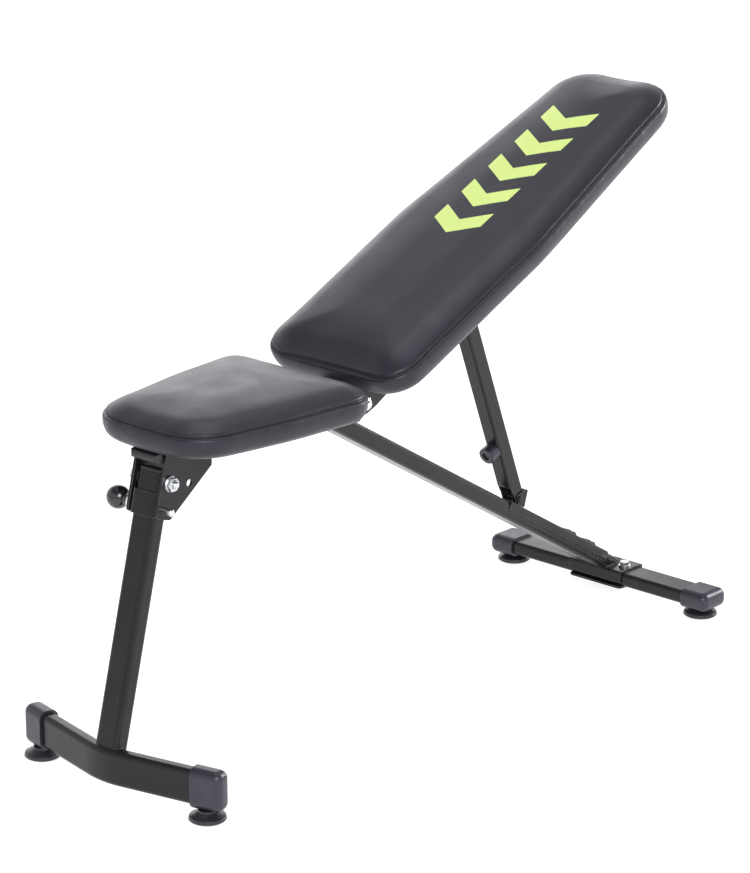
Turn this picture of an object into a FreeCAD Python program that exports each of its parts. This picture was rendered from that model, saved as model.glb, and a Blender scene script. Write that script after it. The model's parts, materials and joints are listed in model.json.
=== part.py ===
"""Folding adjustable weight bench: a steel frame with a fixed seat, a backrest that tilts on a strut
set into saddles on the sloping beam, and a front leg that folds back under the seat.

Side view coordinates (x, z): x = 0 on the line of the front glides, x grows towards the head end,
z = 0 on the floor.  Every sub-part is then moved so that the origin is the middle of the footprint.
Lengths are in millimetres."""

import FreeCAD
import Part
import math
import os

V = FreeCAD.Vector

# ---- driving dimensions -------------------------------------------------------------------------
FRAME_CENTRE_X = 504.34         # middle of the overall length, from the front glide line
WALL = 1.8                      # tube wall
FLAT_W, FLAT_T = 48.0, 21.0     # flat tube of the foot bars and the seat rail
FLAT_R = 7.0                    # its corner radius
TUBE_W, TUBE_T = 40.0, 25.0     # tube of the beam and the leg: across, and in the side view
TUBE_R = 7.0
STRUT_W = 25.0                  # square tube of the strut
RAIL_W, RAIL_T = 20.0, 25.0     # the two backrest rails
PLATE = 4.0                     # bracket plate thickness
SIDE_GAP = 0.4                  # clearance between plates that slide past each other
SHAFT_GAP = 0.05                # radial clearance of a pin in a moving part

M10, M8, M6 = 10.0, 8.0, 6.0    # bolt diameters
NUT_AF = 17.0                   # M10 across flats
NUT_H = 8.0
HEAD_H = 6.4
WASHER_D, WASHER_T = 21.0, 2.0

# seat
RAIL_Z = 437.5                  # centre height of the seat rail
RAIL_X0, RAIL_X1 = 60.0, 392.0
MITRE_H, MITRE_X = 10.5, 93.0    # the rail is cut away underneath at its front end
CAP_NOSE, CAP_SKIN = 12.0, 1.5   # cap in front of the rail, and its skin under the mitre
SEAT_X0, SEAT_X1 = 44.5, 358.0
SEAT_HALF0, SEAT_HALF1 = 105.4, 147.5
SEAT_R0, SEAT_R1 = 40.0, 47.0
SEAT_TOP = 492.4
BOARD_T = 9.0
SEAT_BOARD_INSET = 26.0
SEAT_SCREWS = [(150.0, 0.0), (305.0, 0.0)]

# front leg
LEG_LEAN = 14.4                 # degrees from upright
LEG_PIVOT = (68.5, 406.5)
LEG_TOP = 13.0                  # tube above the pivot
PIN_REACH = 36.0                # pivot to locking pin, and to the folded-position hole
BRACKET_REACH = 48.0            # pivot to the lower end of the bracket plates
LEG_FOLD = 92.0                 # degrees
LEG_TAIL = 10.0                 # the tube ends this far above the middle of the foot bar
BUSH_R = 8.0
PLUG_RIM = 1.5
COLLAR_T = 3.2
COLLAR_REACH = 31.0             # pivot to the middle of the collar
COLLAR_HALF = 16.0
KNOB_Y, KNOB_R = 58.5, 16.0
PIN_TIP_Y = -41.0
SHOULDER_D, SHOULDER_LEN = 20.0, 7.0
FRONT_BAR_Z = 42.4
FRONT_BAR_APEX_X = -29.3
FRONT_BAR_SWEEP = 12.1          # degrees each half is swept back
FRONT_BEND_R = 130.0
FRONT_HALF = 180.3
FRONT_GLIDE_Y = 154.0

# rear foot
REAR_BAR = (1011.0, 27.4)
REAR_HALF = 206.8
REAR_GLIDE_Y = 178.8
CAP_LEN = 45.0
CAP_WALL = 4.0
CAP_R = 11.5
GLIDE_R = 25.0
STUD_GRIP = 3.5                 # stud end inside the cap
SADDLE_PLATE_T = 3.0            # saddle plate that joins the beam to the foot bar
SADDLE_HALF_LEN = 49.0
SADDLE_BOLT_Y = 36.0

# main beam: a straight centre line in the side view
BEAM_POINT = (333.0, 447.4)
BEAM_SLOPE = 31.2
LADDER_T = 1.5
LADDER_FLANGE = 11.0
LADDER_S = (495.0, 760.0)       # start and end of the ladder plate, along the beam

# backrest: u runs up the pad from its lower end, n is the depth below its top face
BACK_ORIGIN = (383.4, 493.8)
BACK_TILT = 24.4
BACK_LEN = 714.0
BACK_HALF0, BACK_HALF1, BACK_HALF2 = 132.5, 134.0, 100.0
BACK_WIDEST_U = 330.0
BACK_R0, BACK_R2 = 52.0, 68.0
PAD_T = 36.0
BACK_BOARD_T = 10.0
BOARD_INSET = 30.0
BACK_RAIL_Y = 42.4              # centre of each rail from the middle
BACK_RAIL_U = (36.0, 610.0)
BACK_SCREW_U = (90.0, 330.0, 560.0)
BACK_CROSS_U = 585.0
HINGE = (431.0, 431.0)
STRUT_PIVOT_U, STRUT_PIVOT_N = 271.0, 60.0

# strut and saddles
SADDLE_H = 4.5
SADDLE_HALF_W = 9.0
SADDLE_STEPS = (0.0, 155.0, 209.0)
FOOT_PIN_D = 9.0
FOOT_CLEAR = 0.4                # foot pin above the saddle lips
FOOT_S = 518.8                  # place of the foot pin along the beam
BUMPER_T, BUMPER_R, BUMPER_LEN = 92.5, 12.5, 17.5
FORK_CUT = 15.0                 # front wall of the strut cut back from the foot pin


# ---- geometry helpers ---------------------------------------------------------------------------
def export(name, shape):
    """Write one node; several solids in it stay separate solids."""
    moved = shape.copy()
    moved.translate(V(-FRAME_CENTRE_X, 0, 0))
    moved.exportStep("parts/%s.step" % name)


def group(shapes):
    return Part.makeCompound(list(shapes))


def mirrored(shape):
    return shape.mirror(V(0, 0, 0), V(0, 1, 0))


def both_sides(shape):
    return group([shape, mirrored(shape)])


def rounded_wire(corners):
    """Closed wire through (x, y, radius) corners in the XY plane, with tangent arcs at the corners."""
    count = len(corners)
    edges = []
    spans = []
    for i in range(count):
        point = V(corners[i][0], corners[i][1], 0)
        before = V(corners[i - 1][0], corners[i - 1][1], 0)
        after = V(corners[(i + 1) % count][0], corners[(i + 1) % count][1], 0)
        to_before = (before - point).normalize()
        to_after = (after - point).normalize()
        radius = corners[i][2]
        half = to_before.getAngle(to_after) / 2
        back = radius / math.tan(half)
        start = point + to_before * back
        end = point + to_after * back
        inward = (to_before + to_after).normalize()
        middle = point + inward * (radius / math.sin(half) - radius)
        spans.append((start, middle, end, radius))
    for i in range(count):
        start, middle, end, radius = spans[i]
        if radius > 0:
            edges.append(Part.Arc(start, middle, end).toShape())
        following = spans[(i + 1) % count][0]
        if end.distanceToPoint(following) > 1e-6:
            edges.append(Part.LineSegment(end, following).toShape())
    return Part.Wire(edges)


def prism(corners, depth):
    return Part.Face(rounded_wire(corners)).extrude(V(0, 0, depth))


def plate_y(corners, y0, y1):
    """Flat plate whose outline is given in the side view (x, z, radius), from y0 to y1."""
    plate = prism(corners, y1 - y0)
    plate.rotate(V(0, 0, 0), V(1, 0, 0), 90)
    plate.translate(V(0, y1, 0))
    return plate


def rod_y(x, z, y0, y1, diameter):
    return Part.makeCylinder(diameter / 2, y1 - y0, V(x, y0, z), V(0, 1, 0))


def hex_y(x, z, y0, y1, across_flats):
    radius = across_flats / math.sqrt(3)
    points = [V(x + radius * math.cos(math.radians(60 * i)), y0,
                z + radius * math.sin(math.radians(60 * i))) for i in range(7)]
    return Part.Face(Part.makePolygon(points)).extrude(V(0, y1 - y0, 0))


def hex_z(x, y, z0, z1, across_flats):
    radius = across_flats / math.sqrt(3)
    points = [V(x + radius * math.cos(math.radians(60 * i)),
                y + radius * math.sin(math.radians(60 * i)), z0) for i in range(7)]
    return Part.Face(Part.makePolygon(points)).extrude(V(0, 0, z1 - z0))


def ring_y(x, z, y0, y1, outer, inner):
    return rod_y(x, z, y0, y1, outer).cut(rod_y(x, z, y0 - 1, y1 + 1, inner))


def box_corners(width, depth, radius):
    w, d = width / 2, depth / 2
    return [(-w, -d, radius), (w, -d, radius), (w, d, radius), (-w, d, radius)]


def tube(width, depth, length, radius, wall=WALL):
    """Hollow rounded tube along +Z: width along X, depth along Y."""
    outer = prism(box_corners(width, depth, radius), length)
    inner = prism(box_corners(width - 2 * wall, depth - 2 * wall, radius - wall), length)
    return outer.cut(inner)


def bar(width, depth, length, radius):
    return prism(box_corners(width, depth, radius), length)


def lay_side(shape, start, angle):
    """Turn a +Z shape with its width along X so that the width lies along Y, then point its length
    along `angle` degrees from +X towards +Z in the side view, starting at `start`."""
    turned = shape.copy()
    turned.rotate(V(0, 0, 0), V(0, 0, 1), 90)
    turned.rotate(V(0, 0, 0), V(0, 1, 0), 90 - angle)
    turned.translate(V(start[0], 0, start[1]))
    return turned


def along(start, angle, distance, offset=0.0):
    """Point in the side view: distance along the angle, then offset to the left of it."""
    a = math.radians(angle)
    return (start[0] + distance * math.cos(a) - offset * math.sin(a),
            start[1] + distance * math.sin(a) + offset * math.cos(a))


def keep_above(shape, z):
    return shape.cut(Part.makeBox(3000, 1000, 1000, V(-1000, -500, z - 1000)))


def keep_below(shape, z):
    return shape.cut(Part.makeBox(3000, 1000, 1000, V(-1000, -500, z)))


def soft_edges(shape, radius, chooser):
    edges = [edge for edge in shape.Edges if chooser(edge)]
    return shape.makeFillet(radius, edges)


# ---- derived places -----------------------------------------------------------------------------
BEAM_ANGLE = -BEAM_SLOPE
LEG_ANGLE = -(90 + LEG_LEAN)                        # down the leg from the pivot
LOCK_POINT = along(LEG_PIVOT, LEG_ANGLE, PIN_REACH)
FOLD_POINT = along(LEG_PIVOT, LEG_ANGLE + LEG_FOLD, PIN_REACH)
LADDER_TOP = TUBE_T / 2 + LADDER_T                  # above the beam centre line
FOOT_N = LADDER_TOP + SADDLE_H + FOOT_CLEAR + FOOT_PIN_D / 2
FOOT = along(BEAM_POINT, BEAM_ANGLE, FOOT_S, FOOT_N)
RAIL_TOP = RAIL_Z + FLAT_T / 2
RAIL_UNDER = RAIL_Z - FLAT_T / 2
SADDLE_TOP = REAR_BAR[1] + FLAT_T / 2 + SADDLE_PLATE_T
BACK_SCREWS = [(u, y) for u in BACK_SCREW_U for y in (-BACK_RAIL_Y, BACK_RAIL_Y)]
PLATE_IN = FLAT_W / 2                               # inner face of the plates on the seat rail
PLATE_OUT = PLATE_IN + PLATE
BACK_PLATE_IN = PLATE_OUT + SIDE_GAP
BACK_PLATE_OUT = BACK_PLATE_IN + PLATE


def back_point(u, n):
    """Side view place of a point given in the backrest's own u and n."""
    return along(BACK_ORIGIN, BACK_TILT, u, -n)


STRUT_PIVOT = back_point(STRUT_PIVOT_U, STRUT_PIVOT_N)
STRUT_ANGLE = math.degrees(math.atan2(STRUT_PIVOT[1] - FOOT[1], STRUT_PIVOT[0] - FOOT[0]))
STRUT_LEN = math.hypot(STRUT_PIVOT[0] - FOOT[0], STRUT_PIVOT[1] - FOOT[1])


def on_back(shape):
    """Place a shape built with u along X and the pad's top face at z = 0."""
    placed = shape.copy()
    placed.rotate(V(0, 0, 0), V(0, 1, 0), -BACK_TILT)
    placed.translate(V(BACK_ORIGIN[0], 0, BACK_ORIGIN[1]))
    return placed


def on_beam(shape, s):
    """Place a shape built with x along the beam and z = 0 on the ladder plate."""
    placed = shape.copy()
    placed.rotate(V(0, 0, 0), V(0, 1, 0), BEAM_SLOPE)
    place = along(BEAM_POINT, BEAM_ANGLE, s, LADDER_TOP)
    placed.translate(V(place[0], 0, place[1]))
    return placed


def strut_corner(t, w, radius):
    """Side view corner from t, the distance up the strut from its foot pin, and w, rearward."""
    x, z = along(FOOT, STRUT_ANGLE, t, -w)
    return (x, z, radius)


# ---- fasteners ----------------------------------------------------------------------------------
def cross_bolt(place, half_width):
    """Bolt along Y whose head is on the +Y side; half_width is where its washers begin."""
    x, z = place
    seat = half_width + WASHER_T
    shank = rod_y(x, z, -seat - NUT_H - 3, seat, M10)
    return shank.fuse(hex_y(x, z, seat, seat + HEAD_H, NUT_AF)).removeSplitter()


def cross_nut(place, half_width):
    x, z = place
    seat = half_width + WASHER_T
    return hex_y(x, z, -seat - NUT_H, -seat, NUT_AF).cut(rod_y(x, z, -seat - 20, -seat + 5, M10))


def cross_washers(place, half_width):
    x, z = place
    return both_sides(ring_y(x, z, half_width, half_width + WASHER_T, WASHER_D, M10))


def fastener_set(prefix, place, half_width):
    export(prefix + "_bolt", cross_bolt(place, half_width))
    export(prefix + "_nut", cross_nut(place, half_width))
    export(prefix + "_washers", cross_washers(place, half_width))


# ---- seat and main frame ------------------------------------------------------------------------
def rail_mitre(lower):
    """Side view wedge under the front end of the seat rail, its sloping face moved down by lower."""
    return [(RAIL_X0 - CAP_NOSE - 5, RAIL_UNDER - 5, 0), (MITRE_X, RAIL_UNDER - 5, 0), (MITRE_X, RAIL_UNDER - lower, 0),
            (RAIL_X0, RAIL_UNDER + MITRE_H - lower, 0), (RAIL_X0 - CAP_NOSE - 5, RAIL_UNDER + MITRE_H - lower, 0)]


def make_seat_rail():
    """Flat tube under the seat, mitred underneath at the front to clear the top of the leg."""
    rail = lay_side(tube(FLAT_W, FLAT_T, RAIL_X1 - RAIL_X0, FLAT_R), (RAIL_X0, RAIL_Z), 0)
    for x, y in SEAT_SCREWS:
        rail = rail.cut(Part.makeCylinder(M6 / 2, FLAT_T, V(x, y, RAIL_UNDER)))
    export("seat_rail", rail.cut(plate_y(rail_mitre(0), -FLAT_W, FLAT_W)))


def make_seat_rail_cap():
    """Round-nosed plastic cap on the front end of the seat rail; its skin closes the mitre."""
    half = FLAT_W / 2
    nose = Part.makeBox(CAP_NOSE, FLAT_W, RAIL_TOP - RAIL_UNDER, V(RAIL_X0 - CAP_NOSE, -half, RAIL_UNDER))
    nose = nose.cut(plate_y(rail_mitre(CAP_SKIN), -FLAT_W, FLAT_W))
    nose = soft_edges(nose, 5.0, lambda e: e.BoundBox.XMax < RAIL_X0 - CAP_NOSE + 0.1)
    skin = Part.makeBox(MITRE_X - RAIL_X0, FLAT_W, MITRE_H + CAP_SKIN, V(RAIL_X0, -half, RAIL_UNDER - CAP_SKIN))
    skin = skin.common(plate_y(rail_mitre(0), -half, half)).cut(plate_y(rail_mitre(CAP_SKIN), -FLAT_W, FLAT_W))
    export("seat_rail_cap", nose.fuse(skin).removeSplitter())


def seat_outline(inset):
    r0, r1 = SEAT_R0 - inset / 2, SEAT_R1 - inset / 2
    return [(SEAT_X0 + inset, -SEAT_HALF0 + inset, r0), (SEAT_X1 - inset, -SEAT_HALF1 + inset, r1),
            (SEAT_X1 - inset, SEAT_HALF1 - inset, r1), (SEAT_X0 + inset, SEAT_HALF0 - inset, r0)]


def make_seat():
    board = prism(seat_outline(SEAT_BOARD_INSET), BOARD_T)
    board.translate(V(0, 0, RAIL_TOP))
    for x, y in SEAT_SCREWS:
        board = board.cut(Part.makeCylinder(M6 / 2, BOARD_T, V(x, y, RAIL_TOP)))
    export("seat_board", board)
    pad = prism(seat_outline(0), SEAT_TOP - RAIL_TOP - BOARD_T)
    pad.translate(V(0, 0, RAIL_TOP + BOARD_T))
    export("seat_pad", soft_edges(pad, 11.0, lambda e: e.BoundBox.ZMin > SEAT_TOP - 0.1))


def make_seat_screws():
    """M6 screws up through the seat rail into the board."""
    screws = []
    for x, y in SEAT_SCREWS:
        shank = Part.makeCylinder(M6 / 2, FLAT_T + BOARD_T, V(x, y, RAIL_UNDER))
        head = Part.makeCylinder(6.0, 3.4, V(x, y, RAIL_UNDER - 3.4))
        screws.append(head.fuse(shank).removeSplitter())
    export("seat_screws", group(screws))


def make_main_beam():
    """Sloping tube from the underside of the seat rail to the saddle plate on the rear foot bar."""
    length = 900.0
    solid = lay_side(tube(TUBE_W, TUBE_T, length, TUBE_R), along(BEAM_POINT, BEAM_ANGLE, -40), BEAM_ANGLE)
    export("main_beam", keep_above(keep_below(solid, RAIL_UNDER), SADDLE_TOP))


def make_leg_bracket():
    """Two side plates on the seat rail; the leg turns and locks between them."""
    foot = along(LEG_PIVOT, LEG_ANGLE, BRACKET_REACH, TUBE_T / 2 - 1)
    heel = along(LEG_PIVOT, LEG_ANGLE, BRACKET_REACH - 1, -TUBE_T / 2 - 2)
    corners = [(145.0, RAIL_TOP, 3), (145.0, 413.5, 4), (foot[0], foot[1], 6),
               (heel[0], heel[1], 4), (64.0, RAIL_TOP, 3)]
    plate = plate_y(corners, PLATE_IN, PLATE_OUT)
    plate = plate.cut(rod_y(LEG_PIVOT[0], LEG_PIVOT[1], 0, 50, M10))
    for place in (LOCK_POINT, FOLD_POINT):
        plate = plate.cut(rod_y(place[0], place[1], 0, 50, M10 + 2 * SHAFT_GAP))
    export("leg_bracket_plates", both_sides(plate))


def make_hinge_ears():
    """Two plates behind the seat rail that carry the backrest hinge bolt."""
    corners = [(338.0, RAIL_TOP, 3), (HINGE[0] + 14, RAIL_TOP - 2, 12), (HINGE[0] + 14, HINGE[1] - 14, 8),
               (HINGE[0] - 2, HINGE[1] - 26.4, 3), (394.0, HINGE[1] - 26.4, 3), (338.0, RAIL_UNDER, 3)]
    plate = plate_y(corners, PLATE_IN, PLATE_OUT)
    export("hinge_ears", both_sides(plate.cut(rod_y(HINGE[0], HINGE[1], 0, 50, M10))))


# ---- ladder -------------------------------------------------------------------------------------
def make_ladder_plate():
    """Channel laid over the beam, its flanges down both sides."""
    length = LADDER_S[1] - LADDER_S[0]
    half = TUBE_W / 2
    outer = Part.makeBox(length, TUBE_W + 2 * LADDER_T, LADDER_FLANGE + LADDER_T,
                         V(0, -half - LADDER_T, -LADDER_FLANGE - LADDER_T))
    outer = soft_edges(outer, 3.0, lambda e: e.BoundBox.ZMin > -0.1 and e.BoundBox.XLength > length - 1)
    inner = lay_side(bar(TUBE_W, TUBE_T, length + 2, TUBE_R), (-1, -LADDER_TOP), 0)
    sides = Part.makeBox(length, TUBE_W, LADDER_FLANGE, V(0, -half, -LADDER_FLANGE - LADDER_T))
    upper = Part.makeBox(length, TUBE_W, TUBE_R, V(0, -half, -LADDER_T - TUBE_R))
    plate = outer.cut(inner).cut(sides.cut(upper))
    placed = on_beam(plate, LADDER_S[0])
    export("ladder_plate", keep_above(placed, SADDLE_TOP))


def make_ladder_saddles():
    """Notched saddles; the strut's foot pin seats across the two lips of one."""
    saddles = []
    profile = [(-11, 0, 0), (14, 0, 0), (11.5, SADDLE_H * 0.6, 3), (8.0, SADDLE_H, 3), (3.5, SADDLE_H, 0.8),
               (2.0, 2.0, 1.0), (-2.0, 2.0, 1.0), (-3.5, SADDLE_H, 0.8), (-8.5, SADDLE_H, 2.5)]
    for step in SADDLE_STEPS:
        saddle = plate_y(profile, -SADDLE_HALF_W, SADDLE_HALF_W)
        saddles.append(on_beam(saddle, FOOT_S + step))
    export("ladder_saddles", group(saddles))


# ---- feet ---------------------------------------------------------------------------------------
def bar_cap(inner_end, outer_end, x, z, upright):
    """Rubber cap that slips over a foot bar, lying along +Y from inner_end to outer_end."""
    long_side, short_side = FLAT_W + 2 * CAP_WALL, FLAT_T + 2 * CAP_WALL
    size_x, size_z = (short_side, long_side) if upright else (long_side, short_side)
    cap = Part.makeBox(size_x, outer_end - inner_end, size_z,
                       V(x - size_x / 2, inner_end, z - size_z / 2))
    return soft_edges(cap, CAP_R, lambda e: e.BoundBox.YMax > inner_end + 1)


def glide(x, y, top):
    """Levelling glide: flared rubber disc with a neck up to the cap."""
    neck = 12.5
    profile = [V(0, 0, 0), V(GLIDE_R - 2, 0, 0), V(GLIDE_R, 0, 2.0), V(GLIDE_R - 1.0, 0, 6.0),
               V(neck + 4, 0, 9.0), V(neck, 0, 11.5), V(neck, 0, top), V(0, 0, top), V(0, 0, 0)]
    body = Part.Face(Part.makePolygon(profile)).revolve(V(0, 0, 0), V(0, 0, 1), 360)
    body = Part.Solid(body) if body.ShapeType != "Solid" else body
    body = body.cut(Part.makeCylinder(M8 / 2, top, V(0, 0, 5)))
    body.translate(V(x, y, 0))
    return body


def glide_stud(x, y, top):
    return Part.makeCylinder(M8 / 2, top - 5 + STUD_GRIP, V(x, y, 5))


def make_rear_foot():
    x, z = REAR_BAR
    outer = REAR_HALF - 6.0
    solid = tube(FLAT_W, FLAT_T, 2 * outer, FLAT_R)
    solid.rotate(V(0, 0, 0), V(1, 0, 0), -90)
    solid.translate(V(x, -outer, z))
    holes = [Part.makeCylinder(M8 / 2, 60, V(x, y, z - 30)) for y in (-SADDLE_BOLT_Y, SADDLE_BOLT_Y)]
    for hole in holes:
        solid = solid.cut(hole)
    export("rear_foot_bar", solid)

    filled = Part.makeBox(FLAT_W, 2 * outer, FLAT_T, V(x - FLAT_W / 2, -outer, z - FLAT_T / 2))
    filled = soft_edges(filled, FLAT_R, lambda e: e.BoundBox.YLength > 2 * outer - 1)
    cap = bar_cap(REAR_HALF - CAP_LEN, REAR_HALF, x, z, False).cut(filled)
    under = z - FLAT_T / 2 - CAP_WALL
    cap = cap.cut(glide_stud(x, REAR_GLIDE_Y, under))
    export("rear_foot_caps", both_sides(cap))
    export("rear_glides", both_sides(glide(x, REAR_GLIDE_Y, under)))
    export("rear_glide_studs", both_sides(glide_stud(x, REAR_GLIDE_Y, under)))

    top = z + FLAT_T / 2
    plate = Part.makeBox(FLAT_W + 2 * SADDLE_PLATE_T, 2 * SADDLE_HALF_LEN, SADDLE_PLATE_T + 14,
                         V(x - FLAT_W / 2 - SADDLE_PLATE_T, -SADDLE_HALF_LEN, top - 14))
    plate = soft_edges(plate, 4.0, lambda e: e.BoundBox.ZMin > top and e.BoundBox.YLength > 90)
    plate = plate.cut(filled)
    plate = plate.cut(Part.makeBox(FLAT_W, 200, 14 - FLAT_R, V(x - FLAT_W / 2, -100, top - 14)))
    clamp = Part.makeBox(FLAT_W + 2 * SADDLE_PLATE_T, 2 * SADDLE_HALF_LEN, SADDLE_PLATE_T,
                         V(x - FLAT_W / 2 - SADDLE_PLATE_T, -SADDLE_HALF_LEN, z - FLAT_T / 2 - SADDLE_PLATE_T))
    clamp = soft_edges(clamp, 6.0, lambda e: e.BoundBox.ZLength > 2.5)
    for hole in holes:
        plate = plate.cut(hole)
        clamp = clamp.cut(hole)
    export("rear_saddle_plate", plate)
    export("rear_clamp_plate", clamp)
    make_saddle_bolts(x, top + SADDLE_PLATE_T, z - FLAT_T / 2 - SADDLE_PLATE_T)


def make_saddle_bolts(x, top, bottom):
    """Two upright bolts clamp the saddle plate to the foot bar, nuts underneath."""
    bolts, nuts, washers = [], [], []
    for y in (-SADDLE_BOLT_Y, SADDLE_BOLT_Y):
        seat = top + WASHER_T
        shank = Part.makeCylinder(M8 / 2, seat - bottom + 8, V(x, y, bottom - 8))
        bolts.append(shank.fuse(hex_z(x, y, seat, seat + 5.3, 13)).removeSplitter())
        nuts.append(hex_z(x, y, bottom - 6.5, bottom, 13).cut(shank))
        ring = Part.makeCylinder(9.0, WASHER_T, V(x, y, top))
        washers.append(ring.cut(shank))
    export("saddle_bolts", group(bolts))
    export("saddle_nuts", group(nuts))
    export("saddle_washers", group(washers))


def front_bar_path():
    """Plan view of half the bent foot bar: the tangent point of the bend and the direction out."""
    sweep = math.radians(FRONT_BAR_SWEEP)
    tangent_x = FRONT_BAR_APEX_X + FRONT_BEND_R * (1 - math.cos(sweep))
    tangent = V(tangent_x, FRONT_BEND_R * math.sin(sweep), FRONT_BAR_Z)
    outward = V(math.sin(sweep), math.cos(sweep), 0)
    return tangent, outward


def front_bar_solid(width, depth, radius, reach_out):
    """Bent bar of a rounded section; width is upright."""
    tangent, outward = front_bar_path()
    far = tangent + outward * reach_out
    far_mirror = V(far.x, -far.y, far.z)
    tangent_mirror = V(tangent.x, -tangent.y, tangent.z)
    middle = V(FRONT_BAR_APEX_X, 0, FRONT_BAR_Z)
    path = Part.Wire([Part.LineSegment(far_mirror, tangent_mirror).toShape(),
                      Part.Arc(tangent_mirror, middle, tangent).toShape(),
                      Part.LineSegment(tangent, far).toShape()])
    section = rounded_wire(box_corners(depth, width, radius))
    section.rotate(V(0, 0, 0), V(1, 0, 0), -90)
    section.rotate(V(0, 0, 0), V(0, 0, 1), FRONT_BAR_SWEEP)
    section.translate(far_mirror)
    return path.makePipeShell([section], True, True)


def front_place(shape, distance):
    """Turn a shape built along +Y about its own start and set it out along one half of the bar."""
    tangent, outward = front_bar_path()
    placed = shape.copy()
    placed.rotate(V(0, 0, 0), V(0, 0, 1), -FRONT_BAR_SWEEP)
    point = tangent + outward * distance
    placed.translate(V(point.x, point.y, 0))
    return placed


def make_front_foot():
    tangent, outward = front_bar_path()
    total = (FRONT_HALF - tangent.y) / outward.y
    outer = front_bar_solid(FLAT_W, FLAT_T, FLAT_R, total - 6)
    inner = front_bar_solid(FLAT_W - 2 * WALL, FLAT_T - 2 * WALL, FLAT_R - WALL, total - 5)
    export("front_foot_bar", outer.cut(inner))

    under = FRONT_BAR_Z - FLAT_W / 2 - CAP_WALL
    glide_out = (FRONT_GLIDE_Y - tangent.y) / outward.y
    cap = front_place(bar_cap(0, CAP_LEN, 0, FRONT_BAR_Z, True), total - CAP_LEN)
    stud = front_place(glide_stud(0, 0, under), glide_out)
    export("front_foot_caps", both_sides(cap.cut(outer).cut(stud)))
    export("front_glides", both_sides(front_place(glide(0, 0, under), glide_out)))
    export("front_glide_studs", both_sides(stud))
    return outer


# ---- front leg ----------------------------------------------------------------------------------
def leg_shape(shape, distance, offset=0.0):
    return lay_side(shape, along(LEG_PIVOT, LEG_ANGLE, distance, offset), LEG_ANGLE)


def make_leg(foot_bar):
    """Tube fitted over and behind the foot bar, with its top plug, pivot bushes and the wrap-round
    collar that stiffens it at the locking pin."""
    full = leg_shape(tube(TUBE_W, TUBE_T, 400, TUBE_R), -LEG_TOP)
    leg = keep_above(full, FRONT_BAR_Z + LEG_TAIL).cut(foot_bar)
    leg = leg.cut(rod_y(LEG_PIVOT[0], LEG_PIVOT[1], -60, 60, 2 * BUSH_R))
    pin_hole = rod_y(LOCK_POINT[0], LOCK_POINT[1], -60, 60, M10 + 2 * SHAFT_GAP)
    export("leg_tube", leg.cut(pin_hole))

    plug = leg_shape(bar(TUBE_W - 2 * WALL, TUBE_T - 2 * WALL, 3.0, TUBE_R - WALL), -LEG_TOP)
    rim = leg_shape(bar(TUBE_W - 1, TUBE_T - 1, PLUG_RIM, TUBE_R - 0.5), -LEG_TOP - PLUG_RIM)
    export("leg_plug", plug.fuse(rim))

    half = TUBE_W / 2
    sleeve = ring_y(LEG_PIVOT[0], LEG_PIVOT[1], half - WALL, half, 2 * BUSH_R, M10 + 2 * SHAFT_GAP)
    flange = ring_y(LEG_PIVOT[0], LEG_PIVOT[1], half, PLATE_IN - SIDE_GAP, 2 * BUSH_R + 5,
                    M10 + 2 * SHAFT_GAP)
    export("leg_bushes", both_sides(sleeve.fuse(flange).removeSplitter()))

    wide = TUBE_W + 2 * COLLAR_T
    channel = leg_shape(bar(wide, TUBE_T + COLLAR_T, 2 * COLLAR_HALF, TUBE_R + 1),
                        COLLAR_REACH - COLLAR_HALF, -COLLAR_T / 2)
    core = leg_shape(bar(TUBE_W, TUBE_T + 2, 2 * COLLAR_HALF + 2, TUBE_R), COLLAR_REACH - COLLAR_HALF - 1, 1.0)
    solid_leg = leg_shape(bar(TUBE_W, TUBE_T, 2 * COLLAR_HALF + 2, TUBE_R), COLLAR_REACH - COLLAR_HALF - 1)
    collar = channel.cut(core).cut(solid_leg).cut(pin_hole)
    export("leg_collar", collar)


# ---- locking pin --------------------------------------------------------------------------------
def make_lock_pin():
    """Pin with a ball knob.  The stretch between the side plates, inside the leg, is left out, because
    the leg could not fold in a model whose pin has not been drawn first."""
    x, z = LOCK_POINT
    shank = rod_y(x, z, PLATE_IN, KNOB_Y - 9, M10)
    shoulder = rod_y(x, z, PLATE_OUT + SIDE_GAP, PLATE_OUT + SIDE_GAP + SHOULDER_LEN, SHOULDER_D)
    tip = rod_y(x, z, PIN_TIP_Y, -PLATE_IN, M10)
    tip = soft_edges(tip, 2.5, lambda e: e.BoundBox.YMax < PIN_TIP_Y + 0.1)
    export("lock_pin", group([shank.fuse(shoulder).removeSplitter(), tip]))
    ball = Part.makeSphere(KNOB_R, V(x, KNOB_Y, z))
    neck = rod_y(x, z, KNOB_Y - KNOB_R - 3, KNOB_Y - KNOB_R + 5, 15)
    knob = ball.fuse(neck).cut(rod_y(x, z, KNOB_Y - 30, KNOB_Y - 9, M10))
    export("ball_knob", knob)


# ---- backrest -----------------------------------------------------------------------------------
def back_outline(inset):
    r0, r2 = BACK_R0 - inset / 2, BACK_R2 - inset / 2
    half0, half1, half2 = BACK_HALF0 - inset, BACK_HALF1 - inset, BACK_HALF2 - inset
    return [(inset, -half0, r0), (BACK_WIDEST_U, -half1, 400), (BACK_LEN - inset, -half2, r2),
            (BACK_LEN - inset, half2, r2), (BACK_WIDEST_U, half1, 400), (inset, half0, r0)]


def make_backrest_pad():
    pad = prism(back_outline(0), PAD_T)
    pad.translate(V(0, 0, -PAD_T))
    pad = soft_edges(pad, 11.0, lambda e: e.BoundBox.ZMin > -0.1)
    export("back_pad", on_back(pad))
    board = prism(back_outline(BOARD_INSET), BACK_BOARD_T)
    board.translate(V(0, 0, -PAD_T - BACK_BOARD_T))
    for u, y in BACK_SCREWS:
        board = board.cut(Part.makeCylinder(M6 / 2, BACK_BOARD_T, V(u, y, -PAD_T - BACK_BOARD_T)))
    export("back_board", on_back(board))


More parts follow.
